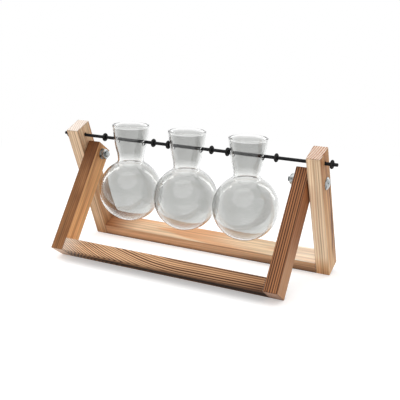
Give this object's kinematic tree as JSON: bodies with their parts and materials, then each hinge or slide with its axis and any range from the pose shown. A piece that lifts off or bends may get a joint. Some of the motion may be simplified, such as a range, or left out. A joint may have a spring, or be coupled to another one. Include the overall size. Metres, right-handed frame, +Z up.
{
  "type": "propagation vase",
  "caption": "Folding wooden stand of two crossed frames with a black rod across the top, which carries clear round glass flasks with flared necks for rooting plant cuttings in water.",
  "frame": {"origin": "on the table, under the middle of the stand, midway between its front and rear feet", "axes": "+X along the rod to the right, +Y to the rear, +Z up"},
  "size_m": [0.3258, 0.1326, 0.1463],
  "materials": {
    "outer_wood": "scorched and brushed softwood with a satin finish",
    "inner_wood": "darker scorched and brushed softwood with a satin finish",
    "dowel_wood": "plain turned dowel",
    "zinc": "bright zinc plate",
    "black_rod": "satin black coating",
    "black_rubber": "matt moulded rubber",
    "clear_glass": "clear blown glass, fire-polished at the rim"
  },
  "bodies": {
    "outer_frame": {"outer_left_leg": "outer_wood", "rear_left_dowels": "dowel_wood", "outer_right_leg": "outer_wood", "rear_right_dowels": "dowel_wood", "rear_rail": "outer_wood", "left_pivot_bolt": "zinc", "left_spacer_washer": "zinc", "left_nut_washer": "zinc", "left_pivot_nut": "zinc", "right_pivot_bolt": "zinc", "right_spacer_washer": "zinc", "right_nut_washer": "zinc", "right_pivot_nut": "zinc"},
    "inner_frame": {"inner_left_leg": "inner_wood", "front_left_dowels": "dowel_wood", "inner_right_leg": "inner_wood", "front_right_dowels": "dowel_wood", "front_rail": "inner_wood"},
    "rod": {"hanging_rod": "black_rod"},
    "left_flask_left_ring_body": {"left_flask_left_ring": "black_rubber"},
    "left_flask_right_ring_body": {"left_flask_right_ring": "black_rubber"},
    "middle_flask_left_ring_body": {"middle_flask_left_ring": "black_rubber"},
    "middle_flask_right_ring_body": {"middle_flask_right_ring": "black_rubber"},
    "right_flask_left_ring_body": {"right_flask_left_ring": "black_rubber"},
    "right_flask_right_ring_body": {"right_flask_right_ring": "black_rubber"},
    "left_end_ring_body": {"left_end_ring": "black_rubber"},
    "right_end_ring_body": {"right_end_ring": "black_rubber"},
    "left_flask_body": {"left_flask": "clear_glass"},
    "middle_flask_body": {"middle_flask": "clear_glass"},
    "right_flask_body": {"right_flask": "clear_glass"}
  },
  "joints": [
    {"name": "stand_fold", "type": "hinge", "parent": "outer_frame", "child": "inner_frame", "pos_m": [0, 0.01122, 0.10736], "axis": [1, 0, 0], "range_deg": [-60, 43]},
    {"name": "rod_slide", "type": "slide", "parent": "outer_frame", "child": "rod", "axis": [1, 0, 0], "range_m": [-0.005, 0.005]},
    {"name": "left_flask_swing", "type": "hinge", "parent": "rod", "child": "left_flask_body", "pos_m": [-0.0737, 0.00168, 0.12905], "axis": [1, 0, 0], "continuous": true},
    {"name": "middle_flask_swing", "type": "hinge", "parent": "rod", "child": "middle_flask_body", "pos_m": [-0.003, 0.00168, 0.12905], "axis": [1, 0, 0], "continuous": true},
    {"name": "right_flask_swing", "type": "hinge", "parent": "rod", "child": "right_flask_body", "pos_m": [0.0677, 0.00168, 0.12905], "axis": [1, 0, 0], "continuous": true},
    {"name": "left_flask_left_ring_slide", "type": "slide", "parent": "rod", "child": "left_flask_left_ring_body", "axis": [1, 0, 0], "range_m": [-0.0202, 0.0134]},
    {"name": "left_flask_right_ring_slide", "type": "slide", "parent": "rod", "child": "left_flask_right_ring_body", "axis": [1, 0, 0], "range_m": [-0.0087, 0.0076]},
    {"name": "middle_flask_left_ring_slide", "type": "slide", "parent": "rod", "child": "middle_flask_left_ring_body", "axis": [1, 0, 0], "range_m": [-0.0076, 0.0021]},
    {"name": "middle_flask_right_ring_slide", "type": "slide", "parent": "rod", "child": "middle_flask_right_ring_body", "axis": [1, 0, 0], "range_m": [-0.0087, 0.0076]},
    {"name": "right_flask_left_ring_slide", "type": "slide", "parent": "rod", "child": "right_flask_left_ring_body", "axis": [1, 0, 0], "range_m": [-0.0076, 0.0021]},
    {"name": "right_flask_right_ring_slide", "type": "slide", "parent": "rod", "child": "right_flask_right_ring_body", "axis": [1, 0, 0], "range_m": [-0.0107, 0.029]},
    {"name": "left_end_ring_slide", "type": "slide", "parent": "rod", "child": "left_end_ring_body", "axis": [1, 0, 0], "range_m": [-0.0041, 0]},
    {"name": "right_end_ring_slide", "type": "slide", "parent": "rod", "child": "right_end_ring_body", "axis": [1, 0, 0], "range_m": [0, 0.0041]}
  ]
}
